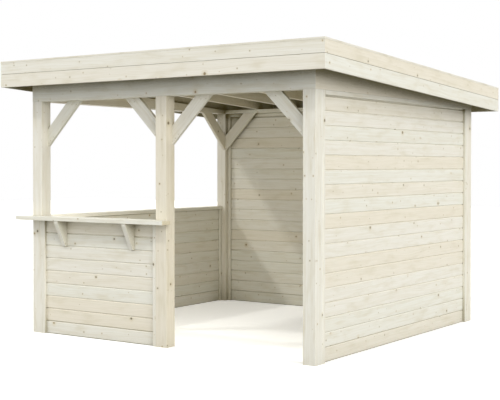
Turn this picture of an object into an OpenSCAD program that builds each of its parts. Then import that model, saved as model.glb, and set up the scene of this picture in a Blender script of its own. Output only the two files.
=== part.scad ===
// Garden bar: an open timber frame under a lean-to roof, with two boarded
// walls, two low walls that carry a counter round the corner, and one bay
// left open as the way in. X runs along the front, Y from front to back and
// Z up. The origin is on the ground, in the middle of the roof's plan.

/* [Frame] */
// Width of the timber frame over its corner posts
frame_w = 3182; // [2600:1:3900]
// Depth of the timber frame over its corner posts
frame_d = 3130; // [2600:1:3900]
// Side of each square post
post = 120; // [100:1:145]
// Height from the ground to the underside of the beams
clear_h = 2223; // [1850:1:2700]
// Height of the back beam at its outer face
back_beam_h = 36; // [30:1:120]
// Distance down a post from the beam to the lower edge of a knee brace
brace_leg = 430; // [350:1:520]
// Width of a knee brace across its face
brace_w = 120; // [90:1:145]
// Thickness of a knee brace
brace_t = 34; // [24:1:45]

/* [Roof] */
// Fall of the roof towards the back, in degrees
roof_fall = 3; // [1:0.25:6]
// Overhang of the roof past the frame on every side
overhang = 210; // [150:1:300]
// Height of a rafter
rafter_h = 145; // [120:1:175]
// Thickness of a rafter
rafter_t = 45; // [36:1:60]
// Thickness of the roof deck
deck_t = 20; // [15:1:28]
// Thickness of the roofing felt
felt_t = 4; // [3:1:8]
// Height of each of the two fascia boards
fascia_board = 121; // [95:1:145]
// Gap between the two fascia boards
fascia_gap = 2; // [1:1:6]
// Thickness of the fascia boards
fascia_t = 20; // [16:1:28]
// Thickness of the metal edge trim
trim_t = 2; // [1:0.5:3]
// Height of the trim's turned-down edge
trim_lip = 14; // [10:1:40]
// Width of the trim's flat edge inside the fascia
trim_lap = 20; // [10:1:60]

/* [Walls] */
// Cover height of one wall board
board_cover = 121; // [95:1:145]
// Thickness of the wall boards
board_t = 20; // [16:1:28]
// Boards in the height of a low wall
low_boards = 9; // [8:1:10]
// Seen width of the battens round each wall panel
batten_w = 36; // [24:1:50]
// Depth of the battens outside and inside the wall boards
batten_t = 24; // [16:1:30]

/* [Counter] */
// Thickness of the counter boards
counter_t = 36; // [28:1:45]
// Distance that the counter stands out past the posts
counter_out = 115; // [90:1:180]
// Distance that the counter's inner edge lies behind the posts' outer face
counter_in = 76; // [60:1:100]
// Distance that the counter runs on past its end posts
counter_past = 48; // [20:1:90]
// Thickness of a counter bracket
bracket_t = 45; // [35:1:60]
// Height of a counter bracket
bracket_h = 244; // [180:1:300]
// Distance that a bracket stops short of the counter's front edge
bracket_back = 9; // [4:1:30]
// Height of a bracket's front end and width of its foot
bracket_nose = 22; // [10:1:40]
// Distance from a post to the bracket beside it
bracket_inset = 265; // [180:1:340]

/* [Hidden] */

// Gap that keeps the battens of one panel separate pieces
batten_gap = 0.5;
// Clearance between faces that meet at the roof's slope
slope_gap = 0.1;
// Spaces between the seven rafters that stand on the beams
rafter_bays = 6;
// Spaces between the four brackets of the left counter
side_bracket_bays = 3;

// Far posts' near faces, and the middle post's left and right faces
right_x = frame_w - post;
back_y = frame_d - post;
middle_x0 = (frame_w - post) / 2;
middle_x1 = middle_x0 + post;
// Top of the low walls, which is the counter's underside
low_h = low_boards * board_cover;
// Depth of a whole wall, with its boards and both layers of battens
wall_t = 2 * batten_t + board_t;
// Length that a knee brace's sawn ends measure along the post and beam
brace_foot = brace_w * sqrt(2);
// Heights of the roof's layers above the rafters' underside
deck_z = rafter_h;
felt_z = deck_z + deck_t;
roof_z = felt_z + felt_t;
fascia_h = 2 * fascia_board + fascia_gap;
// Reach of a bracket from the wall boards
bracket_reach = counter_out + batten_t - bracket_back;

pale_spruce = "#e9e3d2";
warm_spruce = "#e2d7bd";
shaded_spruce = "#b5ab8f";
felt_grey = "#4c4d4b";
trim_grey = "#a9aaa6";

// Height of the rafters' underside at a distance from the frame's front face
function seat(y) = clear_h + back_beam_h + (frame_d - y) * tan(roof_fall);

// Puts the frame's front left corner where the origin's place asks for it
module place() {
    translate([-frame_w / 2, -frame_d / 2, 0]) children();
}

module block(from, to) {
    translate(from) cube(to - from);
}

// Outline in Y and Z, drawn out along X from x0 to x1
module along_x(x0, x1, outline) {
    translate([x0, 0, 0]) rotate([90, 0, 90]) linear_extrude(x1 - x0) polygon(outline);
}

// Slab between two planes that fall with the roof, low and high above the seat
module falling_slab(from, to, low, high) {
    along_x(from[0], to[0], [
        [from[1], seat(from[1]) + low], [to[1], seat(to[1]) + low],
        [to[1], seat(to[1]) + high], [from[1], seat(from[1]) + high]
    ]);
}

// One side of a mitred ring in plan: 0 front, 1 right, 2 back, 3 left
module mitred_side(side, out, inset) {
    x0 = -out;
    x1 = frame_w + out;
    y0 = -out;
    y1 = frame_d + out;
    corners = [[x0, y0], [x1, y0], [x1, y1], [x0, y1]];
    inner = [
        [x0 + inset, y0 + inset], [x1 - inset, y0 + inset],
        [x1 - inset, y1 - inset], [x0 + inset, y1 - inset]
    ];
    next = (side + 1) % 4;
    linear_extrude(2 * clear_h) polygon([corners[side], corners[next], inner[next], inner[side]]);
}

module frame_post(x, y) {
    color(pale_spruce) place() block([x, y, 0], [x + post, y + post, clear_h]);
}

// Beam on one side of the frame: level below, cut to the roof's fall above
module frame_beam(side) {
    color(warm_spruce) place() intersection() {
        mitred_side(side, 0, post);
        along_x(0, frame_w, [
            [0, clear_h], [frame_d, clear_h], [frame_d, seat(frame_d)], [0, seat(0)]
        ]);
    }
}

// Knee brace in the corner between a post's face and the beam, drawn in X and Z
module knee_brace() {
    rotate([90, 0, 0]) linear_extrude(brace_t) polygon([
        [0, -brace_leg], [brace_leg, 0], [brace_leg - brace_foot, 0], [0, brace_foot - brace_leg]
    ]);
}

// Turns a brace that is drawn towards +X to dir, which is 1 or -1
module towards(dir) {
    mirror([dir < 0 ? 1 : 0, 0, 0]) children();
}

// Brace in the front frame, from the post face at x towards dir
module front_brace(x, dir) {
    color(pale_spruce) place() translate([x, post, clear_h]) towards(dir) knee_brace();
}

// Brace in the back frame, level with the back posts' inner faces
module back_brace(x, dir) {
    color(shaded_spruce) place() translate([x, back_y + brace_t, clear_h])
        towards(dir) knee_brace();
}

// Brace from the left back post towards the front, under the left beam
module side_brace() {
    color(shaded_spruce) place() translate([post - brace_t, back_y, clear_h])
        rotate([0, 0, -90]) translate([0, brace_t, 0]) knee_brace();
}

// Rafter that stands on the beams, counted from 0 at the left
module rafter(index) {
    x = post / 2 + index * (frame_w - post) / rafter_bays - rafter_t / 2;
    tail = overhang - fascia_t;
    color(shaded_spruce) place()
        falling_slab([x, -tail], [x + rafter_t, frame_d + tail], slope_gap, rafter_h);
}

// Two outer rafters that carry the side fascias, hung from the deck
module rafters_verge() {
    tail = overhang - fascia_t;
    color(shaded_spruce) place() for (x = [-tail, frame_w + tail - rafter_t])
        falling_slab([x, -tail], [x + rafter_t, frame_d + tail], 0, rafter_h);
}

module roof_layer(low, high) {
    tail = overhang - fascia_t;
    falling_slab([-tail, -tail], [frame_w + tail, frame_d + tail], low, high);
}

module roof_deck() {
    color(shaded_spruce) place() roof_layer(deck_z, felt_z);
}

module roof_felt() {
    color(felt_grey) place() roof_layer(felt_z, roof_z);
}

// Angle of bent metal over the fascia's top and the felt's edge
module roof_trim() {
    out = overhang + trim_t;
    flat_in = overhang - fascia_t - trim_lap;
    color(trim_grey) place() difference() {
        falling_slab([-out, -out], [frame_w + out, frame_d + out], roof_z - trim_lip, roof_z + trim_t);
        falling_slab(
            [-overhang, -overhang], [frame_w + overhang, frame_d + overhang],
            -clear_h, roof_z + slope_gap
        );
        block([-flat_in, -flat_in, 0], [frame_w + flat_in, frame_d + flat_in, 2 * clear_h]);
    }
}

// Two fascia boards on one side, one above the other
module fascia(side) {
    upper_z = roof_z - fascia_board;
    lower_z = roof_z - fascia_h;
    color(pale_spruce) place() for (z = [lower_z, upper_z]) intersection() {
        mitred_side(side, overhang, fascia_t);
        falling_slab(
            [-overhang, -overhang], [frame_w + overhang, frame_d + overhang],
            z, z + fascia_board
        );
    }
}

// Wall panels are drawn along X with their outer face towards -Y at y = 0

module panel_boards(length, height) {
    block([0, batten_t, 0], [length, batten_t + board_t, height]);
}

// Battens outside and inside the boards, with a top rail where top is true
module panel_battens(length, height, top) {
    for (y = [0, batten_t + board_t]) {
        block([0, y, 0], [batten_w, y + batten_t, height]);
        block([length - batten_w, y, 0], [length, y + batten_t, height]);
        if (top) block(
            [batten_w + batten_gap, y, height - batten_w],
            [length - batten_w - batten_gap, y + batten_t, height]
        );
    }
}

module at_front() {
    place() translate([post, 0, 0]) children();
}

module at_left() {
    place() translate([0, back_y, 0]) rotate([0, 0, -90]) children();
}

module at_right() {
    place() translate([frame_w, post, 0]) rotate([0, 0, 90]) children();
}

module at_back() {
    place() translate([right_x, frame_d, 0]) rotate([0, 0, 180]) children();
}

module back_wall() {
    color(shaded_spruce) at_back() panel_boards(right_x - post, clear_h);
}

module right_wall() {
    color(warm_spruce) at_right() panel_boards(back_y - post, clear_h);
}

module front_low_wall() {
    color(pale_spruce) at_front() panel_boards(middle_x0 - post, low_h);
}

module left_low_wall() {
    color(shaded_spruce) at_left() panel_boards(back_y - post, low_h);
}

module back_wall_battens() {
    color(pale_spruce) at_back() panel_battens(right_x - post, clear_h, true);
}

module right_wall_battens() {
    color(pale_spruce) at_right() panel_battens(back_y - post, clear_h, true);
}

module front_low_wall_battens() {
    color(pale_spruce) at_front() panel_battens(middle_x0 - post, low_h, false);
}

module left_low_wall_battens() {
    color(pale_spruce) at_left() panel_battens(back_y - post, low_h, false);
}

// Counter over one low wall, drawn in plan along X: its outer end is mitred,
// its inner edge fits between the posts, and its far end passes the end post
module counter(near_post, far_post) {
    end = far_post + post + counter_past;
    translate([0, 0, low_h]) linear_extrude(counter_t) polygon([
        [-counter_out, -counter_out], [end, -counter_out], [end, 0], [far_post, 0],
        [far_post, counter_in], [near_post, counter_in], [near_post, 0], [0, 0]
    ]);
}

module counter_front() {
    color(pale_spruce) place() counter(post, middle_x0);
}

module counter_left() {
    color(pale_spruce) place() mirror([1, -1, 0]) counter(post, back_y);
}

// Bracket under the counter, with its left face at x, against the boards
module counter_bracket(x) {
    along_x(x, x + bracket_t, [
        [batten_t, low_h], [batten_t, low_h - bracket_h],
        [batten_t - bracket_nose, low_h - bracket_h],
        [batten_t - bracket_reach, low_h - bracket_nose], [batten_t - bracket_reach, low_h]
    ]);
}

module bracket_front_1() {
    color(pale_spruce) at_front() counter_bracket(bracket_inset);
}

module bracket_front_2() {
    color(pale_spruce) at_front() counter_bracket(middle_x0 - post - bracket_inset - bracket_t);
}

module brackets_left() {
    span = back_y - post - 2 * bracket_inset - bracket_t;
    color(pale_spruce) at_left() for (i = [0 : side_bracket_bays])
        counter_bracket(bracket_inset + i * span / side_bracket_bays);
}

frame_post(0, 0);  // post_front_left
frame_post(middle_x0, 0);  // post_front_middle
frame_post(right_x, 0);  // post_front_right
frame_post(0, back_y);  // post_back_left
frame_post(right_x, back_y);  // post_back_right
frame_beam(0);  // beam_front
frame_beam(1);  // beam_right
frame_beam(2);  // beam_back
frame_beam(3);  // beam_left
front_brace(post, 1);  // brace_front_left
front_brace(middle_x0, -1);  // brace_middle_left
front_brace(middle_x1, 1);  // brace_middle_right
front_brace(right_x, -1);  // brace_front_right
side_brace();  // brace_side_left
back_brace(post, 1);  // brace_back_left
back_brace(right_x, -1);  // brace_back_right
rafter(0);  // rafter_1
rafter(1);  // rafter_2
rafter(2);  // rafter_3
rafter(3);  // rafter_4
rafter(4);  // rafter_5
rafter(5);  // rafter_6
rafter(6);  // rafter_7
rafters_verge();
roof_deck();
roof_felt();
roof_trim();
fascia(0);  // fascia_front
fascia(1);  // fascia_right
fascia(2);  // fascia_back
fascia(3);  // fascia_left
back_wall();
right_wall();
front_low_wall();
left_low_wall();
back_wall_battens();
right_wall_battens();
front_low_wall_battens();
left_low_wall_battens();
counter_front();
counter_left();
bracket_front_1();
bracket_front_2();
brackets_left();
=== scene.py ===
"""Garden bar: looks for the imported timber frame, walls, counter and lean-to roof."""

import math
import random

import bmesh
import bpy
from bpy.props import FloatProperty, FloatVectorProperty, PointerProperty
from bpy.types import Operator, Panel, PropertyGroup
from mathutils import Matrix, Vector


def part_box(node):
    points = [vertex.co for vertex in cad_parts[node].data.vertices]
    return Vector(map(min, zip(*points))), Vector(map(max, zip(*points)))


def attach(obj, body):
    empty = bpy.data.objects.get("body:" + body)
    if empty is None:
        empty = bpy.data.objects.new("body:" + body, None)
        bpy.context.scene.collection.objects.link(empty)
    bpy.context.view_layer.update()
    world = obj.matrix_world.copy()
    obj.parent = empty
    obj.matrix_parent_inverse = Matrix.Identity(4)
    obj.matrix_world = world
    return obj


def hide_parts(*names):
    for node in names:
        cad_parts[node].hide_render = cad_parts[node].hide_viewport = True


bl_info = {
    "name": "Garden Bar",
    "version": (1, 0, 0),
    "blender": (4, 5, 0),
    "location": "View3D > Sidebar > Garden Bar",
    "description": "Boards, timbers, roofing and studio for the garden bar's packed frame",
    "category": "Object",
}

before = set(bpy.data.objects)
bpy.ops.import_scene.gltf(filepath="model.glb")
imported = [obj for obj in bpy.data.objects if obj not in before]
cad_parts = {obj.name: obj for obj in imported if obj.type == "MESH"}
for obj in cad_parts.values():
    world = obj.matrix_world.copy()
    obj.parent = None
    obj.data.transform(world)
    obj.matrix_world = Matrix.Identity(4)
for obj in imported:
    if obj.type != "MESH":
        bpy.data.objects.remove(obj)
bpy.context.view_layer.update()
BODY = "root"

# What each timber's mesh carries for its finish: places along and across the grain in metres, its
# own tone, and which of its faces are sawn ends
UV_NAME = "grain"
TONE_NAME = "tone"
END_NAME = "end_grain"

LONG_BEAMS = ("beam_front", "beam_back")
SIDE_BEAMS = ("beam_left", "beam_right")
POSTS = (
    "post_front_left", "post_front_middle", "post_front_right", "post_back_left", "post_back_right",
)
BRACES = (
    "brace_front_left", "brace_middle_left", "brace_middle_right", "brace_front_right",
    "brace_side_left", "brace_back_left", "brace_back_right",
)
RAFTERS = tuple(f"rafter_{i}" for i in range(1, 8)) + ("rafters_verge",)
FASCIAS = ("fascia_front", "fascia_back", "fascia_left", "fascia_right")
WALLS = ("back_wall", "right_wall", "front_low_wall", "left_low_wall")
BRACKETS = ("bracket_front_1", "bracket_front_2", "brackets_left")

# Tones of timbers that are plainly cooler or warmer than the rest, from -1, cool, to 1, warm. The
# front beam's cool tone is partly its own and partly painted shade under the front eave, and the
# right beam's warm tone partly its own and partly painted light
OWN_AND_PAINTED_TONES = {
    "beam_front": -0.9, "beam_right": 1.0, "post_front_right": -0.4, "post_front_left": 0.0,
}

# Where each group of pieces starts its random draws
SEEDS = {
    "posts": 100, "long_beams": 200, "side_beams": 210, "braces": 300, "rafters": 400, "deck": 500,
    "trim": 600, "fascias": 700, "walls": 800, "battens": 900, "front_counter": 1000,
    "left_counter": 1010, "brackets": 1100,
}

X_AXIS = Vector((1, 0, 0))
Y_AXIS = Vector((0, 1, 0))
UP = Vector((0, 0, 1))


# Colours ---------------------------------------------------------------------------------

def linear(colour):
    """Linear red, green, blue and alpha of an sRGB hex colour such as #e9e3d3."""
    channels = [int(colour[start:start + 2], 16) / 255 for start in (1, 3, 5)]
    return (*[c / 12.92 if c <= 0.04045 else ((c + 0.055) / 1.055) ** 2.4 for c in channels], 1.0)


# Materials -------------------------------------------------------------------------------

def add_node(tree, kind, inputs=None, give=None, **settings):
    """Adds a node, sets its properties, fills its inputs with values or links, and gives one of
    its outputs where that is asked for, or else the node."""
    made = tree.nodes.new("ShaderNode" + kind)
    for name, value in settings.items():
        setattr(made, name, value)
    for socket, value in (inputs or {}).items():
        if isinstance(value, bpy.types.NodeSocket):
            tree.links.new(value, made.inputs[socket])
        else:
            made.inputs[socket].default_value = value
    return made if give is None else made.outputs[give]


def new_material(name):
    """An empty node material, with its tree and its Principled shader."""
    material = bpy.data.materials.new(name)
    material.use_nodes = True
    tree = material.node_tree
    tree.nodes.clear()
    shader = add_node(tree, "BsdfPrincipled")
    add_node(tree, "OutputMaterial", {"Surface": shader.outputs["BSDF"]})
    return material, tree, shader


# What makes a Map Range node ease in and out
EASED = {"interpolation_type": "SMOOTHSTEP"}

# Knots: length and width of the cell that holds one, and the radii that they run between
LARGE_KNOTS = {"cell": (0.46, 0.125), "smallest": 0.004, "largest": 0.0125}
PIN_KNOTS = {"cell": (0.17, 0.062), "smallest": 0.0016, "largest": 0.0045}
PIN_KNOT_SHARE = 0.7
KNOT_SCATTER = 0.85

# The grain spreads round a knot from 4.5 radii away, and most at 0.6 radii
BEND_FROM, BEND_TO, BEND_MOST = 4.5, 0.6, 0.85

# Rings of a knot, from the halo to the heart: where each fades in, in knot radii from the middle,
# where it is full, the property with its colour in a live and in a dead knot, and its strength
KNOT_RINGS = (
    (4.00, 1.00, "knot_halo", "dead_knot_halo", 0.42),
    (1.40, 0.65, "knot_rim", "dead_knot_rim", 0.90),
    (0.55, 0.25, "knot_heart", "dead_knot_heart", 0.55),
)

# The grain wanders 20 mm sideways, over about 900 mm along it and 200 mm across
SWERVE_SPAN = {"From Min": 0.2, "From Max": 0.8, "To Min": -0.02, "To Max": 0.02}
SWERVE_LENGTH, SWERVE_WIDTH = 0.91, 0.2

# Length, width and detail of the latewood lines, the broader bands and the cloudy patches, and the
# part of each pattern that shows
LATEWOOD_LINES = {"length": 0.30, "width": 0.004, "detail": 3.0, "shows": (0.42, 0.72)}
LATEWOOD_BANDS = {"length": 1.6, "width": 0.022, "detail": 2.0, "shows": (0.35, 0.75)}
CLOUDS = {"length": 0.25, "width": 0.06, "detail": 3.0, "shows": (0.45, 0.80)}
LINE_SHARE, BAND_SHARE, CLOUD_SHARE = 0.26, 0.20, 0.45
LINE_DEPTH = 0.0004
LINE_ROUGHENS = {"To Min": 0.56, "To Max": 0.68}

# Tones from which and at which a timber is pale, and then warm
PALE_TONES, WARM_TONES = (-1.0, 0.0), (0.1, 1.0)

# Growth rings are about 3 mm apart on a sawn end, drawn at 6 mm so that they show. A wave texture
# at a scale of 1 has its waves this far apart
RING_GAP = 0.006
WAVE_GAP = math.tau / 20

# Painted shade, an olive darkening of the wood's colour, reaches this far out of a corner. It is
# laid by the share of open sky that a point sees: none at the first share, and the most at the
# second. Behind the fascias and under the roof it needs less of a corner. That zone begins between
# two heights, which are given for the middle of the roof, and falls to the back with it
SHADE_REACH = 0.45
EAVES_SHADE = {"From Min": 0.62, "From Max": 0.42, "To Min": 0.0, "To Max": 0.90}
CORNER_SHADE = {"From Min": 0.62, "From Max": 0.12, "To Min": 0.0, "To Max": 0.75}
EAVES_FROM, EAVES_TO = 2.16, 2.27


def knot_layer(tree, place, knots, cell, smallest, largest):
    """Knots scattered one to a cell, in metres along and across the grain. Gives how far each
    point is from its knot in knot radii, how much the grain bends there, whether the cell has a
    knot, and the knot's age, which is 1 for a dead one."""
    size = Vector((*cell, 1.0))
    cells = add_node(tree, "VectorMath", {0: place, 1: size}, 0, operation="DIVIDE")
    scatter = add_node(
        tree, "TexVoronoi", {"Vector": cells, "Scale": 1.0, "Randomness": KNOT_SCATTER},
        voronoi_dimensions="2D",
    )
    centre = add_node(
        tree, "VectorMath", {0: scatter.outputs["Position"], 1: size}, 0, operation="MULTIPLY",
    )
    offset = add_node(tree, "VectorMath", {0: place, 1: centre}, 0, operation="SUBTRACT")
    sideways = add_node(tree, "SeparateXYZ", {0: offset}, "Y")
    distance = add_node(tree, "VectorMath", {0: offset}, "Value", operation="LENGTH")
    drawn = add_node(tree, "SeparateColor", {0: scatter.outputs["Color"]})
    chance = drawn.outputs["Red"]
    age = drawn.outputs["Green"]
    present = add_node(tree, "Math", {0: chance, 1: 1 - knots}, 0, operation="GREATER_THAN")

    # Most knots are small: the radius grows with the square of the draw
    growth = add_node(tree, "MapRange", {"Value": chance, "From Min": 1 - knots, "From Max": 1.0}, 0)
    growth = add_node(tree, "Math", {0: growth, 1: 2.0}, 0, operation="POWER")
    radius = add_node(tree, "MapRange", {"Value": growth, "To Min": smallest, "To Max": largest}, 0)
    reach = add_node(tree, "Math", {0: distance, 1: radius}, 0, operation="DIVIDE")

    bulge = add_node(
        tree, "MapRange",
        {"Value": reach, "From Min": BEND_FROM, "From Max": BEND_TO, "To Max": BEND_MOST}, 0, **EASED,
    )
    bulge = add_node(tree, "Math", {0: bulge, 1: present}, 0, operation="MULTIPLY")
    bend = add_node(tree, "Math", {0: sideways, 1: bulge}, 0, operation="MULTIPLY")
    return reach, bend, present, age


def stain_knots(tree, colour, reach, present, age):
    """Draws knots over a colour: a live knot is ochre and a dead one dark olive-brown, with a
    pale tan halo in either case."""
    colours = bpy.context.scene.garden_bar_colours
    for outer, inner, live, dead, strength in KNOT_RINGS:
        spot = add_node(
            tree, "MapRange",
            {"Value": reach, "From Min": outer, "From Max": inner, "To Max": strength}, 0, **EASED,
        )
        spot = add_node(tree, "Math", {0: spot, 1: present}, 0, operation="MULTIPLY")
        stain = add_node(
            tree, "Mix", {"Factor": age, "A": getattr(colours, live), "B": getattr(colours, dead)},
            "Result", data_type="RGBA",
        )
        colour = add_node(
            tree, "Mix", {"Factor": spot, "A": colour, "B": stain}, "Result", data_type="RGBA",
        )
    return colour


def paint_shade(tree, colour):
    """Painted shade over a colour: an olive darkening in joints and inside corners, and more
    of it behind the fascias and under the roof."""
    place = add_node(tree, "TexCoord", give="Object")
    _, back, up = add_node(tree, "SeparateXYZ", {0: place}).outputs
    height = add_node(
        tree, "Math", {0: back, 1: -slope_of("roof_deck"), 2: up}, 0, operation="MULTIPLY_ADD",
    )
    open_sky = add_node(tree, "AmbientOcclusion", {"Distance": SHADE_REACH}, "AO", samples=8)
    high_up = add_node(
        tree, "MapRange", {"Value": height, "From Min": EAVES_FROM, "From Max": EAVES_TO}, 0, **EASED,
    )
    eaves, corners = [
        add_node(tree, "MapRange", {"Value": open_sky, **span}, 0, **EASED)
        for span in (EAVES_SHADE, CORNER_SHADE)
    ]
    eaves = add_node(tree, "Math", {0: eaves, 1: high_up}, 0, operation="MULTIPLY")
    share = add_node(tree, "Math", {0: eaves, 1: corners}, 0, operation="MAXIMUM")
    # Painted shade: the olive that the darkening mixes into the wood
    painted_shade = bpy.context.scene.garden_bar_colours.painted_shade
    return add_node(tree, "Mix", {"Factor": share, "A": colour, "B": painted_shade}, "Result", data_type="RGBA")


def planed_spruce(name, knots, wood="planed"):
    """Planed untreated spruce: a cream ground whose tone differs from timber to timber, fine tan
    latewood lines that bend round knots, faint cloudy patches, and a satin surface that is a
    little rougher in the lines."""
    colours = bpy.context.scene.garden_bar_colours
    cool, pale, warm, late = [
        getattr(colours, f"{wood}_{tone}") for tone in ("cool", "pale", "warm", "late")
    ]
    material, tree, shader = new_material(name)
    uv = add_node(tree, "UVMap", give="UV", uv_map=UV_NAME)
    tone = add_node(tree, "Attribute", give="Fac", attribute_name=TONE_NAME)
    end = add_node(tree, "Attribute", give="Fac", attribute_name=END_NAME)
    along, across, _ = add_node(tree, "SeparateXYZ", {0: uv}).outputs
    knot_layers = (
        knot_layer(tree, uv, knots * PIN_KNOT_SHARE, **PIN_KNOTS),
        knot_layer(tree, uv, knots, **LARGE_KNOTS),
    )

    # Across the grain, bent round both kinds of knot and swerving slowly
    scaled_along = add_node(tree, "Math", {0: along, 1: SWERVE_LENGTH}, 0, operation="DIVIDE")
    scaled_across = add_node(tree, "Math", {0: across, 1: SWERVE_WIDTH}, 0, operation="DIVIDE")
    place = add_node(tree, "CombineXYZ", {0: scaled_along, 1: scaled_across, 2: tone}, 0)
    swerve = add_node(tree, "TexNoise", {"Vector": place, "Scale": 1.0, "Detail": 1.0}, "Fac")
    swerve = add_node(tree, "MapRange", {"Value": swerve, **SWERVE_SPAN}, 0)
    line = add_node(tree, "Math", {0: across, 1: swerve}, 0, operation="ADD")
    for _, bend, _, _ in knot_layers:
        line = add_node(tree, "Math", {0: line, 1: bend}, 0, operation="SUBTRACT")

    patterns = []
    for layer in (LATEWOOD_LINES, LATEWOOD_BANDS, CLOUDS):
        start, full = layer["shows"]
        scaled_along = add_node(tree, "Math", {0: along, 1: layer["length"]}, 0, operation="DIVIDE")
        scaled_line = add_node(tree, "Math", {0: line, 1: layer["width"]}, 0, operation="DIVIDE")
        place = add_node(tree, "CombineXYZ", {0: scaled_along, 1: scaled_line, 2: tone}, 0)
        noise = add_node(
            tree, "TexNoise", {"Vector": place, "Scale": 1.0, "Detail": layer["detail"]}, "Fac",
        )
        patterns.append(add_node(
            tree, "MapRange", {"Value": noise, "From Min": start, "From Max": full}, 0, **EASED,
        ))
    lines, bands, clouds = patterns

    # Ground tones from cool through pale to warm
    colour = cool
    for (start, full), next_tone in ((PALE_TONES, pale), (WARM_TONES, warm)):
        share = add_node(
            tree, "MapRange", {"Value": tone, "From Min": start, "From Max": full}, 0, **EASED,
        )
        colour = add_node(
            tree, "Mix", {"Factor": share, "A": colour, "B": next_tone}, "Result", data_type="RGBA",
        )

    # Clouds, and then lines and bands together, in the latewood's colour
    clouds = add_node(tree, "Math", {0: clouds, 1: CLOUD_SHARE}, 0, operation="MULTIPLY")
    grain = add_node(tree, "Math", {0: lines, 1: LINE_SHARE}, 0, operation="MULTIPLY")
    grain = add_node(tree, "Math", {0: bands, 1: BAND_SHARE, 2: grain}, 0, operation="MULTIPLY_ADD")
    for share in (clouds, grain):
        colour = add_node(
            tree, "Mix", {"Factor": share, "A": colour, "B": late}, "Result", data_type="RGBA",
        )
    for reach, _, present, age in knot_layers:
        colour = stain_knots(tree, colour, reach, present, age)
    # Painted shade in joints, inside corners, behind the fascias and under the roof
    colour = paint_shade(tree, colour)

    # Sawn ends show growth rings in place of the grain
    rings = add_node(
        tree, "TexWave",
        {
            "Vector": uv, "Scale": WAVE_GAP / RING_GAP, "Distortion": 2.0, "Detail": 1.0,
            "Detail Scale": 0.4,
        }, "Fac", wave_type="RINGS", rings_direction="SPHERICAL",
    )
    sawn = add_node(
        tree, "Mix", {"Factor": rings, "A": colours.end_early, "B": colours.end_late}, "Result",
        data_type="RGBA",
    )
    colour = add_node(tree, "Mix", {"Factor": end, "A": colour, "B": sawn}, "Result", data_type="RGBA")
    roughness = add_node(tree, "MapRange", {"Value": lines, **LINE_ROUGHENS}, 0, **EASED)
    bump = add_node(
        tree, "Bump", {"Height": lines, "Strength": 0.35, "Distance": LINE_DEPTH}, 0, invert=True,
    )
    tree.links.new(colour, shader.inputs["Base Color"])
    tree.links.new(roughness, shader.inputs["Roughness"])
    tree.links.new(bump, shader.inputs["Normal"])
    shader.inputs["Specular IOR Level"].default_value = 0.35
    return material


# Mineral grit is 1 to 2 mm, drawn at 5 mm so that it shows, and lies thick in patches about
# 700 mm across
GRIT_SIZE, GRIT_HEIGHT = 0.005, 0.0012
GRIT_PATCH = 0.7
GRIT_THICKENS = {"From Min": 0.35, "From Max": 0.70, "To Max": 0.35}


def mineral_felt(name):
    """Mineral-faced roofing felt: bitumen sheet with pressed slate grit, dark grey and matt,
    speckled light and dark, a little paler where grit lies thick."""
    colours = bpy.context.scene.garden_bar_colours
    material, tree, shader = new_material(name)
    place = add_node(tree, "TexCoord", give="Object")
    grit = add_node(tree, "TexVoronoi", {"Vector": place, "Scale": 1 / GRIT_SIZE}, "Color")
    shade = add_node(tree, "SeparateColor", {0: grit}, "Red")
    patches = add_node(
        tree, "TexNoise", {"Vector": place, "Scale": 1 / GRIT_PATCH, "Detail": 4.0}, "Fac",
    )
    speckle = add_node(
        tree, "Mix", {"Factor": shade, "A": colours.grit_dark, "B": colours.grit_light}, "Result",
        data_type="RGBA",
    )
    thick = add_node(tree, "MapRange", {"Value": patches, **GRIT_THICKENS}, 0)
    colour = add_node(
        tree, "Mix", {"Factor": thick, "A": speckle, "B": colours.grit_thick}, "Result",
        data_type="RGBA",
    )
    bump = add_node(tree, "Bump", {"Height": shade, "Strength": 0.6, "Distance": GRIT_HEIGHT}, 0)
    tree.links.new(colour, shader.inputs["Base Color"])
    tree.links.new(bump, shader.inputs["Normal"])
    shader.inputs["Roughness"].default_value = 0.93
    return material


# Grime on the trim lies in patches 170 mm across, and orange peel is 2 mm wide, drawn at 4 mm so
# that it shows
TRIM_PATCH = 0.17
TRIM_SOILS = {"From Min": 0.4, "From Max": 0.8}
TRIM_ROUGHENS = {"From Min": 0.3, "From Max": 0.8, "To Min": 0.42, "To Max": 0.60}
PEEL_SIZE, PEEL_HEIGHT = 0.004, 0.0003


def coated_aluminium(name):
    """Folded aluminium sheet with a cream powder coat: smooth, half matt, with the faint orange
    peel of sprayed powder and a little soiling in patches."""
    colours = bpy.context.scene.garden_bar_colours
    material, tree, shader = new_material(name)
    place = add_node(tree, "TexCoord", give="Object")
    patches = add_node(
        tree, "TexNoise", {"Vector": place, "Scale": 1 / TRIM_PATCH, "Detail": 4.0}, "Fac",
    )
    peel = add_node(tree, "TexNoise", {"Vector": place, "Scale": 1 / PEEL_SIZE, "Detail": 1.0}, "Fac")
    soiled = add_node(tree, "MapRange", {"Value": patches, **TRIM_SOILS}, 0, **EASED)
    colour = add_node(
        tree, "Mix", {"Factor": soiled, "A": colours.trim, "B": colours.trim_soiled}, "Result",
        data_type="RGBA",
    )
    roughness = add_node(tree, "MapRange", {"Value": patches, **TRIM_ROUGHENS}, 0, **EASED)
    bump = add_node(tree, "Bump", {"Height": peel, "Strength": 0.15, "Distance": PEEL_HEIGHT}, 0)
    tree.links.new(colour, shader.inputs["Base Color"])
    tree.links.new(roughness, shader.inputs["Roughness"])
    tree.links.new(bump, shader.inputs["Normal"])
    return material


# Clouds on the plating are 3 mm across
PLATING_CLOUD = 0.003
PLATING_ROUGHENS = {"From Min": 0.3, "From Max": 0.7, "To Min": 0.35, "To Max": 0.55}


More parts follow.
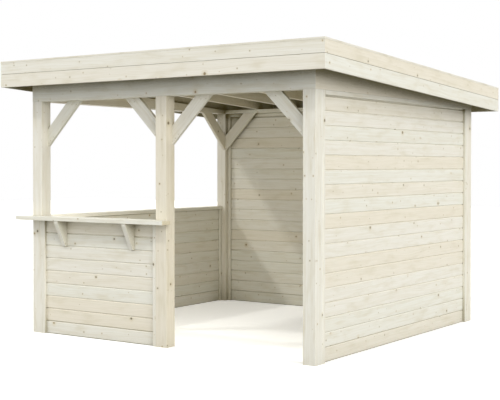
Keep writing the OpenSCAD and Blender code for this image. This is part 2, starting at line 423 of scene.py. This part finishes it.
def zinc_plate(name):
    """Yellow-passivated zinc plate on steel: dull straw-grey metal, cloudy from handling."""
    colours = bpy.context.scene.garden_bar_colours
    material, tree, shader = new_material(name)
    place = add_node(tree, "TexCoord", give="Object")
    clouds = add_node(
        tree, "TexNoise", {"Vector": place, "Scale": 1 / PLATING_CLOUD, "Detail": 2.0}, "Fac",
    )
    colour = add_node(
        tree, "Mix", {"Factor": clouds, "A": colours.zinc, "B": colours.zinc_cloud}, "Result",
        data_type="RGBA",
    )
    roughness = add_node(tree, "MapRange", {"Value": clouds, **PLATING_ROUGHENS}, 0, **EASED)
    tree.links.new(colour, shader.inputs["Base Color"])
    tree.links.new(roughness, shader.inputs["Roughness"])
    shader.inputs["Metallic"].default_value = 0.9
    return material


# What each finish is called, what makes it, and how that is set. The share of knots is how many
# of the cells in which one may lie have one
FINISHES = {
    "post_spruce": ("planed spruce post", planed_spruce, {"knots": 0.42}),
    "beam_spruce": ("planed spruce beam", planed_spruce, {"knots": 0.34}),
    "brace_spruce": ("planed spruce brace", planed_spruce, {"knots": 0.30}),
    "roof_spruce": ("planed spruce rafter", planed_spruce, {"knots": 0.30}),
    "fascia_spruce": ("planed spruce fascia", planed_spruce, {"knots": 0.30}),
    "batten_spruce": ("planed spruce batten", planed_spruce, {"knots": 0.26}),
    "board_spruce": ("tongued spruce board", planed_spruce, {"knots": 0.34}),
    "counter_spruce": ("planed spruce counter", planed_spruce, {"knots": 0.30}),
    # Painted shade: the roof boards take the darker roof colours
    "deck_spruce": ("spruce roof board in painted shade", planed_spruce, {"knots": 0.45, "wood": "roof"}),
    "roofing_felt": ("mineral roofing felt", mineral_felt, {}),
    "edge_trim": ("coated aluminium trim", coated_aluminium, {}),
    "screw": ("zinc-plated steel screw", zinc_plate, {}),
}


def finish_of(key):
    """The material of a finish, made the first time that it is asked for."""
    name, make, settings = FINISHES[key]
    return bpy.data.materials.get(name) or make(name, **settings)


# Shapes ----------------------------------------------------------------------------------

# Corners nearer than this are one, and faces that turn less than this are one flat face
MERGE_DISTANCE = 0.00002
FLAT_ANGLE = math.radians(0.5)

# An edge runs with the grain when its cosine to the grain is over this, and a face is a sawn end
# when its own is
WITH_GRAIN = 0.99
SAWN_END = 0.5

# Each timber takes its grain from its own place on one big sheet of it, this long and wide
GRAIN_SHEET = 40

# Which of its two ways a sloping timber's grain counts as running
POSITIVE_WAY = Vector((1, 1.1, 1.2))


def runs_with(edge, along):
    """Whether an edge runs with the grain."""
    return abs((edge.verts[0].co - edge.verts[1].co).normalized().dot(along)) > WITH_GRAIN


def timber_mesh():
    """An empty mesh with the layers that the spruce finish reads."""
    bm = bmesh.new()
    bm.loops.layers.uv.new(UV_NAME)
    bm.faces.layers.float.new(TONE_NAME)
    bm.faces.layers.float.new(END_NAME)
    return bm


def lay_grain(bm, faces, along, rng, timber_tone=None):
    """Runs the grain of one timber along a direction, with its tone and its sawn ends. The
    tone goes from -1, cool, to 1, warm, and some beams' set tones stand in part for painted light and
    shade."""
    uv = bm.loops.layers.uv[UV_NAME]
    tone = bm.faces.layers.float[TONE_NAME]
    end = bm.faces.layers.float[END_NAME]
    shift = Vector((rng.uniform(0, GRAIN_SHEET), rng.uniform(0, GRAIN_SHEET)))
    drawn_tone = rng.uniform(-1, 1)
    if timber_tone is None:
        timber_tone = drawn_tone
    side = along.orthogonal().normalized()
    for face in faces:
        sawn = abs(face.normal.dot(along)) > SAWN_END
        first = side if sawn else along
        second = (along if sawn else face.normal).cross(first)
        face[tone] = timber_tone
        face[end] = float(sawn)
        for loop in face.loops:
            place = Vector((loop.vert.co.dot(first), loop.vert.co.dot(second)))
            loop[uv].uv = place if sawn else place + shift


def add_board(bm, low, high, along, ease, rng):
    """One straight board between two corners, with its long edges chamfered."""
    made = bmesh.ops.create_cube(bm, size=1.0)["verts"]
    bmesh.ops.scale(bm, vec=high - low, verts=made)
    bmesh.ops.translate(bm, vec=(low + high) / 2, verts=made)
    if ease > 0:
        edges = {edge for vert in made for edge in vert.link_edges}
        long_edges = [edge for edge in edges if runs_with(edge, along)]
        cut = bmesh.ops.bevel(
            bm, geom=long_edges, offset=ease, offset_type="OFFSET", segments=1, profile=0.5,
            affect="EDGES", material=-1,
        )
        made = set(cut["verts"]) | {vert for vert in made if vert.is_valid}
    faces = {face for vert in made for face in vert.link_faces}
    for face in faces:
        face.normal_update()
    lay_grain(bm, faces, along, rng)


def islands(bm):
    """The separate closed solids of a mesh, each as a list of faces."""
    left = set(bm.faces)
    found = []
    for seed in bm.faces:
        if seed not in left:
            continue
        left.remove(seed)
        queue = [seed]
        part = []
        while queue:
            face = queue.pop()
            part.append(face)
            for edge in face.edges:
                for other in edge.link_faces:
                    if other in left:
                        left.remove(other)
                        queue.append(other)
        found.append(part)
    return found


def part_edges(faces):
    """The edges of a solid, in a fixed order."""
    return sorted({edge for face in faces for edge in face.edges}, key=lambda edge: edge.index)


def middle_of(faces):
    """Middle of a solid's box."""
    corners = [vert.co for face in faces for vert in face.verts]
    low = Vector([min(corner[axis] for corner in corners) for axis in range(3)])
    high = Vector([max(corner[axis] for corner in corners) for axis in range(3)])
    return (low + high) / 2


def longest_way(faces):
    """Direction of the longest edge of a solid."""
    longest = max(part_edges(faces), key=lambda edge: edge.calc_length())
    way = (longest.verts[1].co - longest.verts[0].co).normalized()
    return way if way.dot(POSITIVE_WAY) > 0 else -way


def eased_copy(node, ease, rng, along=None, ends=False):
    """A node's own solids with flat faces joined up, arrises eased along them, and grain laid.
    With ends on, the arrises round their ends are eased too."""
    bm = timber_mesh()
    bm.from_mesh(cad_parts[node].data)
    bmesh.ops.remove_doubles(bm, verts=bm.verts, dist=MERGE_DISTANCE)
    bmesh.ops.dissolve_limit(
        bm, angle_limit=FLAT_ANGLE, verts=bm.verts, edges=bm.edges, use_dissolve_boundaries=False,
    )
    bmesh.ops.recalc_face_normals(bm, faces=bm.faces)
    bm.edges.index_update()
    ways = [(part, along or longest_way(part)) for part in islands(bm)]
    middles = [(middle_of(part), way) for part, way in ways]
    if ease > 0:
        arrises = [
            edge for part, way in ways for edge in part_edges(part) if ends or runs_with(edge, way)
        ]
        bmesh.ops.bevel(
            bm, geom=arrises, offset=ease, offset_type="OFFSET", segments=2, profile=0.5,
            affect="EDGES", material=-1, clamp_overlap=True,
        )
    bm.normal_update()
    # A bevel makes new faces, so each eased solid is known again by its middle
    for part in islands(bm):
        centre = middle_of(part)
        _, way = min(middles, key=lambda known: (known[0] - centre).length)
        # The set tones of the front and right beams are partly painted shade and painted light
        lay_grain(bm, part, way, rng, OWN_AND_PAINTED_TONES.get(node))
    return bm


def place_piece(bm, name, slot, *nodes, finish=None):
    """Makes the mesh a visible piece that stands for CAD nodes and rides on the frame."""
    mesh = bpy.data.meshes.new(name)
    bm.to_mesh(mesh)
    bm.free()
    mesh.materials.append(finish_of(finish or slot))
    piece = bpy.data.objects.new(name, mesh)
    bpy.context.scene.collection.objects.link(piece)
    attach(piece, BODY)
    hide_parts(*nodes)


def slope_of(node):
    """Rise per metre towards the back of a solid that falls with the roof."""
    corners = [vert.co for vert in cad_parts[node].data.vertices]
    low_y = min(corner.y for corner in corners)
    high_y = max(corner.y for corner in corners)
    front = max(corner.z for corner in corners if corner.y < low_y + MERGE_DISTANCE)
    back = max(corner.z for corner in corners if corner.y > high_y - MERGE_DISTANCE)
    return (back - front) / (high_y - low_y)


def roof_layer(node):
    """Lowest and highest corners, slope and thickness of a layer that falls with the roof."""
    low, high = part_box(node)
    slope = slope_of(node)
    return low, high, slope, (high.z - low.z) - abs(slope) * (high.y - low.y)


def lean(bm, slope, front):
    """Leans what was made level to the roof's slope, about its front edge."""
    for vert in bm.verts:
        vert.co.z += slope * (vert.co.y - front)


# Settings --------------------------------------------------------------------------------

def length_setting(name, description, default):
    """A property that holds a length in metres."""
    return FloatProperty(name=name, description=description, default=default, min=0.0, unit="LENGTH")


def colour_setting(name, description, default):
    """A property that holds a colour, given as sRGB hex."""
    return FloatVectorProperty(
        name=name, description=description, default=linear(default), size=4, min=0.0, max=1.0,
        subtype="COLOR",
    )


def strength_setting(name, description, default):
    """A property that holds a lamp's strength."""
    return FloatProperty(name=name, description=description, default=default, min=0.0)


class GardenBarSizes(PropertyGroup):
    """Sizes of what is added to the frame."""

    board_cover: length_setting("Board cover", "Height of wall that one board covers", 0.121)
    board_groove: length_setting("Board groove", "Chamfer along each long edge of a wall board", 0.0065)
    board_gap: length_setting("Board gap", "Open joint at the bottom of the groove", 0.002)
    board_tongue: length_setting("Board tongue", "Thickness of the tongue that shows in the joint", 0.006)
    deck_cover: length_setting("Deck board cover", "Width of roof that one deck board covers", 0.096)
    deck_groove: length_setting("Deck groove", "Chamfer along each long edge of a deck board", 0.0025)
    timber_ease: length_setting("Timber arris", "Rounding of the edges of posts, beams and braces", 0.003)
    batten_ease: length_setting("Batten arris", "Rounding of the edges of thinner timbers", 0.002)
    felt_sheet: length_setting("Felt sheet width", "Width of one strip of felt, up the slope", 1.0)
    felt_lap: length_setting("Felt lap", "How far one strip of felt covers the next", 0.08)
    screw_head: length_setting("Screw head", "Diameter of a countersunk screw's head", 0.009)
    screw_edge: length_setting("Screw from edge", "How far the first screw is from a brace's end", 0.035)


class GardenBarColours(PropertyGroup):
    """Colours of the finishes."""

    planed_cool: colour_setting("Spruce, cool", "Ground of the coolest timbers", "#ebeae0")
    planed_pale: colour_setting("Spruce, pale", "Ground of most timbers", "#edeae0")
    planed_warm: colour_setting("Spruce, warm", "Ground of the warmest timbers", "#ebe4d4")
    planed_late: colour_setting("Spruce, latewood", "Grain lines of the timbers", "#d2c9ae")
    # The roof boards' grounds and lines are darker and more olive than the planed spruce of the same
    # wood: painted shade of the roof's underside
    roof_cool: colour_setting("Roof board, cool", "Ground of the coolest roof boards", "#bdb697")
    roof_pale: colour_setting("Roof board, pale", "Ground of most roof boards", "#c2b995")
    roof_warm: colour_setting("Roof board, warm", "Ground of the warmest roof boards", "#bfb087")
    roof_late: colour_setting("Roof board, latewood", "Grain lines of the roof boards", "#a5976d")
    end_early: colour_setting("Sawn end, earlywood", "Pale rings on a sawn end", "#e6dfca")
    end_late: colour_setting("Sawn end, latewood", "Dark rings on a sawn end", "#d4c8a8")
    knot_halo: colour_setting("Live knot, halo", "Wood round a live knot", "#d5c5a0")
    knot_rim: colour_setting("Live knot, rim", "Rim of a live knot", "#a08c63")
    knot_heart: colour_setting("Live knot, heart", "Heart of a live knot", "#b39a6d")
    dead_knot_halo: colour_setting("Dead knot, halo", "Wood round a dead knot", "#c9bd9c")
    dead_knot_rim: colour_setting("Dead knot, rim", "Rim of a dead knot", "#544d39")
    dead_knot_heart: colour_setting("Dead knot, heart", "Heart of a dead knot", "#6f644b")
    # Painted shade: the olive that darkens joints, inside corners and the wood under the eaves
    painted_shade: colour_setting("Grime", "What gathers in joints and under the eaves", "#756a36")
    grit_dark: colour_setting("Felt, dark grit", "Dark grains on the felt", "#3b3c3b")
    grit_light: colour_setting("Felt, light grit", "Light grains on the felt", "#6d6f6c")
    grit_thick: colour_setting("Felt, thick grit", "Felt where the grit lies thick", "#7f807a")
    trim: colour_setting("Trim", "Powder coat of the roof's edge trim", "#e6e2d4")
    trim_soiled: colour_setting("Trim, soiled", "Powder coat where it is soiled", "#d6d0bd")
    zinc: colour_setting("Screw", "Plating of the screws", "#b7ab86")
    zinc_cloud: colour_setting("Screw, clouded", "Plating where it is clouded", "#8f8468")


class GardenBarStage(PropertyGroup):
    """The studio round the garden bar."""

    floor_size: length_setting("Floor size", "Length of each side of the floor", 60.0)
    sun_strength: strength_setting("Sun", "Strength of the broad key lamp", 1.91)
    side_strength: strength_setting("Side sun", "Strength of the lamp from the front left", 0.8)
    back_strength: strength_setting("Back sun", "Strength of the lamp from the back left", 1.0)
    sky_strength: strength_setting("Sky", "Strength of the even light", 0.70)
    fill_power: FloatProperty(
        name="Fill", description="Power of the lamp that fills the room from its open front",
        default=19.0, min=0.0, unit="POWER",
    )
    fill_colour: colour_setting("Fill colour", "Colour of the fill", "#fffbf0")
    sun_colour: colour_setting("Sun colour", "Colour of the sun lamps", "#fffdf8")
    sky_colour: colour_setting("Sky colour", "Colour of the even light", "#f4f7fb")
    floor_colour: colour_setting("Floor colour", "Colour of the floor", "#f3f3f1")
    bounce_colour: colour_setting("Floor bounce", "Colour that the floor throws on the object", "#a3a29e")


# Pieces ----------------------------------------------------------------------------------

def eased_pieces(nodes, slot, ease, seed, along=None, ends=False):
    """One piece for each node, with its arrises eased and its grain along its length."""
    for index, node in enumerate(nodes):
        rng = random.Random(seed + index)
        place_piece(eased_copy(node, ease, rng, along, ends), node + "_timber", slot, node)


class GARDENBAR_OT_posts(Operator):
    """Planed square posts with eased arrises"""

    bl_idname = "gardenbar.posts"
    bl_label = "Posts"

    def execute(self, context):
        ease = context.scene.garden_bar_sizes.timber_ease
        eased_pieces(POSTS, "post_spruce", ease, SEEDS["posts"], UP)
        return {"FINISHED"}


class GARDENBAR_OT_beams(Operator):
    """Planed ring beams, mitred at the corners and cut to the fall"""

    bl_idname = "gardenbar.beams"
    bl_label = "Beams"

    def execute(self, context):
        ease = context.scene.garden_bar_sizes.timber_ease
        eased_pieces(LONG_BEAMS, "beam_spruce", ease, SEEDS["long_beams"], X_AXIS)
        eased_pieces(SIDE_BEAMS, "beam_spruce", ease, SEEDS["side_beams"], Y_AXIS)
        return {"FINISHED"}


class GARDENBAR_OT_braces(Operator):
    """Knee braces between posts and beams"""

    bl_idname = "gardenbar.braces"
    bl_label = "Braces"

    def execute(self, context):
        ease = context.scene.garden_bar_sizes.timber_ease
        eased_pieces(BRACES, "brace_spruce", ease, SEEDS["braces"])
        return {"FINISHED"}


class GARDENBAR_OT_rafters(Operator):
    """Rafters that fall towards the back, with the verge ladders outside them"""

    bl_idname = "gardenbar.rafters"
    bl_label = "Rafters"

    def execute(self, context):
        ease = context.scene.garden_bar_sizes.batten_ease
        eased_pieces(RAFTERS, "roof_spruce", ease, SEEDS["rafters"])
        return {"FINISHED"}


class GARDENBAR_OT_deck(Operator):
    """Tongued roof boards that lie across the rafters"""

    bl_idname = "gardenbar.deck"
    bl_label = "Roof deck"

    def execute(self, context):
        sizes = context.scene.garden_bar_sizes
        low, high, slope, thick = roof_layer("roof_deck")
        count = round((high.y - low.y) / sizes.deck_cover)
        cover = (high.y - low.y) / count
        rng = random.Random(SEEDS["deck"])
        bm = timber_mesh()
        for row in range(count):
            y = low.y + row * cover
            add_board(
                bm, Vector((low.x, y, high.z - thick)), Vector((high.x, y + cover, high.z)),
                X_AXIS, sizes.deck_groove, rng,
            )
        lean(bm, slope, low.y)
        place_piece(bm, "roof_deck_boards", "roof_spruce", "roof_deck", finish="deck_spruce")
        return {"FINISHED"}


class GARDENBAR_OT_felt(Operator):
    """Strips of mineral felt, each lapped over the strip below it"""

    bl_idname = "gardenbar.felt"
    bl_label = "Roofing felt"

    def execute(self, context):
        sizes = context.scene.garden_bar_sizes
        low, high, slope, thick = roof_layer("roof_felt")
        sheet = thick / 2
        strips = []
        back = high.y
        front = high.y
        while front > low.y:
            front = max(back - sizes.felt_sheet, low.y)
            strips.append((front, back, 0))
            if back < high.y:
                strips.append((back - sizes.felt_lap, back, 1))
            back = front + sizes.felt_lap
        bm = bmesh.new()
        for front, back, level in strips:
            made = bmesh.ops.create_cube(bm, size=1.0)["verts"]
            bmesh.ops.scale(bm, vec=(high.x - low.x, back - front, sheet), verts=made)
            height = high.z - thick + sheet * (level + 0.5)
            middle = ((low.x + high.x) / 2, (front + back) / 2, height)
            bmesh.ops.translate(bm, vec=middle, verts=made)
        lean(bm, slope, low.y)
        place_piece(bm, "roof_felt_sheets", "roofing_felt", "roof_felt")
        return {"FINISHED"}


class GARDENBAR_OT_trim(Operator):
    """Folded and coated aluminium edge trim round the roof"""

    bl_idname = "gardenbar.trim"
    bl_label = "Edge trim"

    def execute(self, context):
        bm = eased_copy("roof_trim", 0.0, random.Random(SEEDS["trim"]))
        place_piece(bm, "roof_edge_trim", "edge_trim", "roof_trim")
        return {"FINISHED"}


class GARDENBAR_OT_fascias(Operator):
    """Two fascia boards a side, with eased edges and a narrow gap between them"""

    bl_idname = "gardenbar.fascias"
    bl_label = "Fascias"

    def execute(self, context):
        ease = context.scene.garden_bar_sizes.batten_ease
        eased_pieces(FASCIAS, "fascia_spruce", ease, SEEDS["fascias"])
        return {"FINISHED"}


# No board is cut to less than this share of a whole one
SLIVER = 0.01


def wall_boards(low, high, sizes, rng):
    """Level boards that fill a wall's box from the bottom up, with a tongue in each joint. The top
    board is cut down to fit."""
    along = X_AXIS if high.x - low.x > high.y - low.y else Y_AXIS
    through = X_AXIS + Y_AXIS - along
    inset = through * ((high - low).dot(through) - sizes.board_tongue) / 2
    rows = math.ceil((high.z - low.z) / sizes.board_cover - SLIVER)
    bm = timber_mesh()
    for row in range(rows):
        bottom = low.z + row * sizes.board_cover
        top = min(bottom + sizes.board_cover, high.z)
        joint = top if row == rows - 1 else top - sizes.board_gap
        add_board(
            bm, Vector((low.x, low.y, bottom)), Vector((high.x, high.y, joint)), along,
            sizes.board_groove, rng,
        )
        if joint < top:
            add_board(
                bm, Vector((low.x, low.y, joint)) + inset, Vector((high.x, high.y, top)) - inset,
                along, 0.0, rng,
            )
    return bm


class GARDENBAR_OT_walls(Operator):
    """Walls of level tongued boards with a V-joint between each two"""

    bl_idname = "gardenbar.walls"
    bl_label = "Walls"

    def execute(self, context):
        for index, node in enumerate(WALLS):
            low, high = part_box(node)
            rng = random.Random(SEEDS["walls"] + index)
            bm = wall_boards(low, high, context.scene.garden_bar_sizes, rng)
            place_piece(bm, node + "_boards", "board_spruce", node)
        return {"FINISHED"}


class GARDENBAR_OT_battens(Operator):
    """Battens that hold the wall boards between the posts"""

    bl_idname = "gardenbar.battens"
    bl_label = "Battens"

    def execute(self, context):
        nodes = [wall + "_battens" for wall in WALLS]
        ease = context.scene.garden_bar_sizes.batten_ease
        eased_pieces(nodes, "batten_spruce", ease, SEEDS["battens"])
        return {"FINISHED"}


class GARDENBAR_OT_counters(Operator):
    """The bar's two counter tops, mitred where they meet"""

    bl_idname = "gardenbar.counters"
    bl_label = "Counters"

    def execute(self, context):
        ease = context.scene.garden_bar_sizes.batten_ease
        for node, seed, along in (
            ("counter_front", SEEDS["front_counter"], X_AXIS),
            ("counter_left", SEEDS["left_counter"], Y_AXIS),
        ):
            eased_pieces([node], "counter_spruce", ease, seed, along, ends=True)
        return {"FINISHED"}


class GARDENBAR_OT_brackets(Operator):
    """Tapered brackets under the counters"""

    bl_idname = "gardenbar.brackets"
    bl_label = "Brackets"

    def execute(self, context):
        ease = context.scene.garden_bar_sizes.batten_ease
        eased_pieces(BRACKETS, "counter_spruce", ease, SEEDS["brackets"], ends=True)
        return {"FINISHED"}


# A screw head's parts as shares of its diameter, and how far it stands proud of the timber
SCREW_HEIGHT, SCREW_FOOT = 0.30, 0.25
RECESS_INSET, RECESS_TAPER, RECESS_DEPTH = 0.22, 0.05, 0.14
SCREW_PROUD = 0.0003
SCREW_SIDES = 12


def add_screw(bm, place, outward, head):
    """One countersunk screw head with a round drive recess."""
    height = head * SCREW_HEIGHT
    made = bmesh.ops.create_cone(
        bm, cap_ends=True, segments=SCREW_SIDES, radius1=head * SCREW_FOOT, radius2=head / 2,
        depth=height,
    )["verts"]
    faces = {face for vert in made for face in vert.link_faces}
    top = max(faces, key=lambda face: face.calc_center_median().z)
    bmesh.ops.inset_individual(bm, faces=[top], thickness=head * RECESS_INSET, depth=0.0)
    bmesh.ops.inset_individual(
        bm, faces=[top], thickness=head * RECESS_TAPER, depth=-head * RECESS_DEPTH,
    )
    part = next(part for part in islands(bm) if top in part)
    solid = list({vert for face in part for vert in face.verts})
    turn = UP.rotation_difference(outward).to_matrix()
    bmesh.ops.rotate(bm, cent=(0, 0, 0), matrix=turn, verts=solid)
    bmesh.ops.translate(bm, vec=place + outward * (SCREW_PROUD - height / 2), verts=solid)


# A brace is cut at 45 degrees, so its screws stand further from its pointed ends by this factor
SCREW_SET_BACK = 1.6


def brace_screws(node, from_edge):
    """Where two screws go at each end of a knee brace, and the way that they face: outwards,
    away from the middle of the room."""
    low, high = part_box(node)
    thin = 0 if high.x - low.x < high.y - low.y else 1
    wide = 1 - thin
    outward = Vector((0, 0, 0))
    outward[thin] = 1.0 if (low + high)[thin] > 0 else -1.0
    middles = [sum(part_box(post), Vector()) / 2 for post in POSTS]
    post = min(middles, key=lambda middle: (middle - (low + high) / 2).xy.length)
    post_is_low = abs(post[wide] - low[wide]) < abs(post[wide] - high[wide])
    set_back = from_edge * SCREW_SET_BACK
    places = []
    for step in (0.0, from_edge):
        for at_post in (True, False):
            if at_post:
                across = from_edge + step
                height = low.z + set_back + step
            else:
                across = (high - low)[wide] - (from_edge + step) * SCREW_SET_BACK
                height = high.z - from_edge
            place = Vector((0, 0, height))
            place[thin] = high[thin] if outward[thin] > 0 else low[thin]
            place[wide] = low[wide] + across if post_is_low else high[wide] - across
            places.append(place)
    return places, outward


class GARDENBAR_OT_screws(Operator):
    """Zinc-plated screw heads in the knee braces"""

    bl_idname = "gardenbar.screws"
    bl_label = "Screws"

    def execute(self, context):
        sizes = context.scene.garden_bar_sizes
        bm = bmesh.new()
        for node in BRACES:
            places, outward = brace_screws(node, sizes.screw_edge)
            for place in places:
                add_screw(bm, place, outward, sizes.screw_head)
        place_piece(bm, "brace_screws", "edge_trim", finish="screw")
        return {"FINISHED"}


# Stage -----------------------------------------------------------------------------------

CAMERA_AT = Vector((6.044, -8.963, 1.609))
CAMERA_TURN = math.radians(34.52)
CAMERA_TILT = math.radians(90 - 0.94)
CAMERA_LENS = 77.65
CAMERA_SENSOR = 36.0
CAMERA_SHIFT = -0.0335

# Which way each sun shines, and how wide it is
KEY_SUN = (Vector((-0.62, 0.36, -0.34)), math.radians(50))
SIDE_SUN = (Vector((0.55, 0.47, -0.69)), math.radians(4))
BACK_SUN = (Vector((0.45, -0.72, -0.53)), math.radians(50))

# The fill stands in the open front, from the floor to this height
FILL_HEIGHT = 1.7

# The floor lies just under the feet, so that they don't share a plane. It glows by this much for
# the camera, which takes it to white away from the shadow
FLOOR_DROP = 0.0005
FLOOR_GLOW = 0.3
WHITE = (1.0, 1.0, 1.0, 1.0)


def add_sun(name, aim, spread, strength, colour):
    """A sun lamp that shines along a direction, as wide as its spread."""
    lamp = bpy.data.lights.new(name, "SUN")
    lamp.energy = strength
    lamp.color = colour[:3]
    lamp.angle = spread
    sun = bpy.data.objects.new(name, lamp)
    sun.rotation_euler = aim.to_track_quat("-Z", "Y").to_euler()
    bpy.context.scene.collection.objects.link(sun)


def stage_light(settings):
    """A broad soft key from the front right, a small sun from the front left that reaches into
    the room, a broad one behind, a fill inside the open front, and even light from all round."""
    add_sun("key_sun", *KEY_SUN, settings.sun_strength, settings.sun_colour)
    add_sun("side_sun", *SIDE_SUN, settings.side_strength, settings.sun_colour)
    add_sun("back_sun", *BACK_SUN, settings.back_strength, settings.sun_colour)

    low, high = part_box("beam_front")
    fill_lamp = bpy.data.lights.new("room_fill", "AREA")
    fill_lamp.shape = "RECTANGLE"
    fill_lamp.size = high.x - low.x
    fill_lamp.size_y = FILL_HEIGHT
    fill_lamp.energy = settings.fill_power
    fill_lamp.color = settings.fill_colour[:3]
    fill = bpy.data.objects.new("room_fill", fill_lamp)
    fill.location = ((low.x + high.x) / 2, high.y, FILL_HEIGHT / 2)
    fill.rotation_euler = (math.radians(90), 0.0, 0.0)
    fill.visible_camera = False
    fill.visible_glossy = False
    bpy.context.scene.collection.objects.link(fill)

    world = bpy.data.worlds.new("studio")
    world.use_nodes = True
    tree = world.node_tree
    tree.nodes.clear()
    path = add_node(tree, "LightPath")
    seen = add_node(
        tree, "Math", {0: path.outputs["Is Camera Ray"], 1: path.outputs["Is Glossy Ray"]}, 0,
        operation="MAXIMUM",
    )
    lit = add_node(
        tree, "Background", {"Color": settings.sky_colour, "Strength": settings.sky_strength}, 0,
    )
    white = add_node(tree, "Background", {"Color": WHITE, "Strength": 1.0}, 0)
    mixed = add_node(tree, "MixShader", {0: seen, 1: lit, 2: white}, 0)
    add_node(tree, "OutputWorld", {"Surface": mixed})
    bpy.context.scene.world = world


def stage_floor(settings):
    """A plain pale floor that goes white away from the object's shadow."""
    bm = bmesh.new()
    bmesh.ops.create_grid(bm, x_segments=1, y_segments=1, size=settings.floor_size / 2)
    bmesh.ops.translate(bm, vec=(0, 0, -FLOOR_DROP), verts=bm.verts)
    mesh = bpy.data.meshes.new("studio_floor")
    bm.to_mesh(mesh)
    bm.free()
    material, tree, shader = new_material("matt studio floor")
    path = add_node(tree, "LightPath")
    seen = add_node(
        tree, "Math", {0: path.outputs["Is Camera Ray"], 1: path.outputs["Is Glossy Ray"]}, 0,
        operation="MAXIMUM",
    )
    glow = add_node(tree, "Math", {0: seen, 1: FLOOR_GLOW}, 0, operation="MULTIPLY")
    shown = add_node(
        tree, "Mix", {"Factor": seen, "A": settings.bounce_colour, "B": settings.floor_colour},
        "Result", data_type="RGBA",
    )
    tree.links.new(shown, shader.inputs["Base Color"])
    shader.inputs["Roughness"].default_value = 0.9
    shader.inputs["Emission Color"].default_value = WHITE
    tree.links.new(glow, shader.inputs["Emission Strength"])
    mesh.materials.append(material)
    floor = bpy.data.objects.new("studio_floor", mesh)
    bpy.context.scene.collection.objects.link(floor)


def stage_camera():
    """The camera, at a visitor's eye level to the front right."""
    data = bpy.data.cameras.new("camera")
    data.lens = CAMERA_LENS
    data.sensor_width = CAMERA_SENSOR
    data.shift_y = CAMERA_SHIFT
    camera = bpy.data.objects.new("camera", data)
    camera.location = CAMERA_AT
    camera.rotation_euler = (CAMERA_TILT, 0.0, CAMERA_TURN)
    bpy.context.scene.collection.objects.link(camera)
    bpy.context.scene.camera = camera


class GARDENBAR_OT_stage(Operator):
    """Pale floor, soft light and the camera"""

    bl_idname = "gardenbar.stage"
    bl_label = "Stage"

    def execute(self, context):
        settings = context.scene.garden_bar_stage
        stage_light(settings)
        stage_floor(settings)
        stage_camera()
        context.scene.view_settings.view_transform = "Standard"
        return {"FINISHED"}


# Add-on ----------------------------------------------------------------------------------

PIECE_OPERATORS = (
    GARDENBAR_OT_posts, GARDENBAR_OT_beams, GARDENBAR_OT_braces, GARDENBAR_OT_rafters,
    GARDENBAR_OT_deck, GARDENBAR_OT_felt, GARDENBAR_OT_trim, GARDENBAR_OT_fascias,
    GARDENBAR_OT_walls, GARDENBAR_OT_battens, GARDENBAR_OT_counters, GARDENBAR_OT_brackets,
    GARDENBAR_OT_screws,
)


class GARDENBAR_PT_panel(Panel):
    """Lists the garden bar's settings and operators"""

    bl_idname = "GARDENBAR_PT_panel"
    bl_label = "Garden Bar"
    bl_space_type = "VIEW_3D"
    bl_region_type = "UI"
    bl_category = "Garden Bar"

    def draw(self, context):
        scene = context.scene
        for settings in (scene.garden_bar_sizes, scene.garden_bar_colours, scene.garden_bar_stage):
            box = self.layout.box()
            for name in settings.__annotations__:
                box.prop(settings, name)
        for operator in PIECE_OPERATORS + (GARDENBAR_OT_stage,):
            self.layout.operator(operator.bl_idname)


CLASSES = (
    GardenBarSizes, GardenBarColours, GardenBarStage, *PIECE_OPERATORS, GARDENBAR_OT_stage,
    GARDENBAR_PT_panel,
)


def register():
    for cls in CLASSES:
        bpy.utils.register_class(cls)
    bpy.types.Scene.garden_bar_sizes = PointerProperty(type=GardenBarSizes)
    bpy.types.Scene.garden_bar_colours = PointerProperty(type=GardenBarColours)
    bpy.types.Scene.garden_bar_stage = PointerProperty(type=GardenBarStage)


def unregister():
    del bpy.types.Scene.garden_bar_stage
    del bpy.types.Scene.garden_bar_colours
    del bpy.types.Scene.garden_bar_sizes
    for cls in reversed(CLASSES):
        bpy.utils.unregister_class(cls)


def main():
    """Registers the add-on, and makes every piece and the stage."""
    register()
    for operator in PIECE_OPERATORS + (GARDENBAR_OT_stage,):
        name = operator.bl_idname.split(".")[1]
        getattr(bpy.ops.gardenbar, name)()


if __name__ == "__main__":
    main()
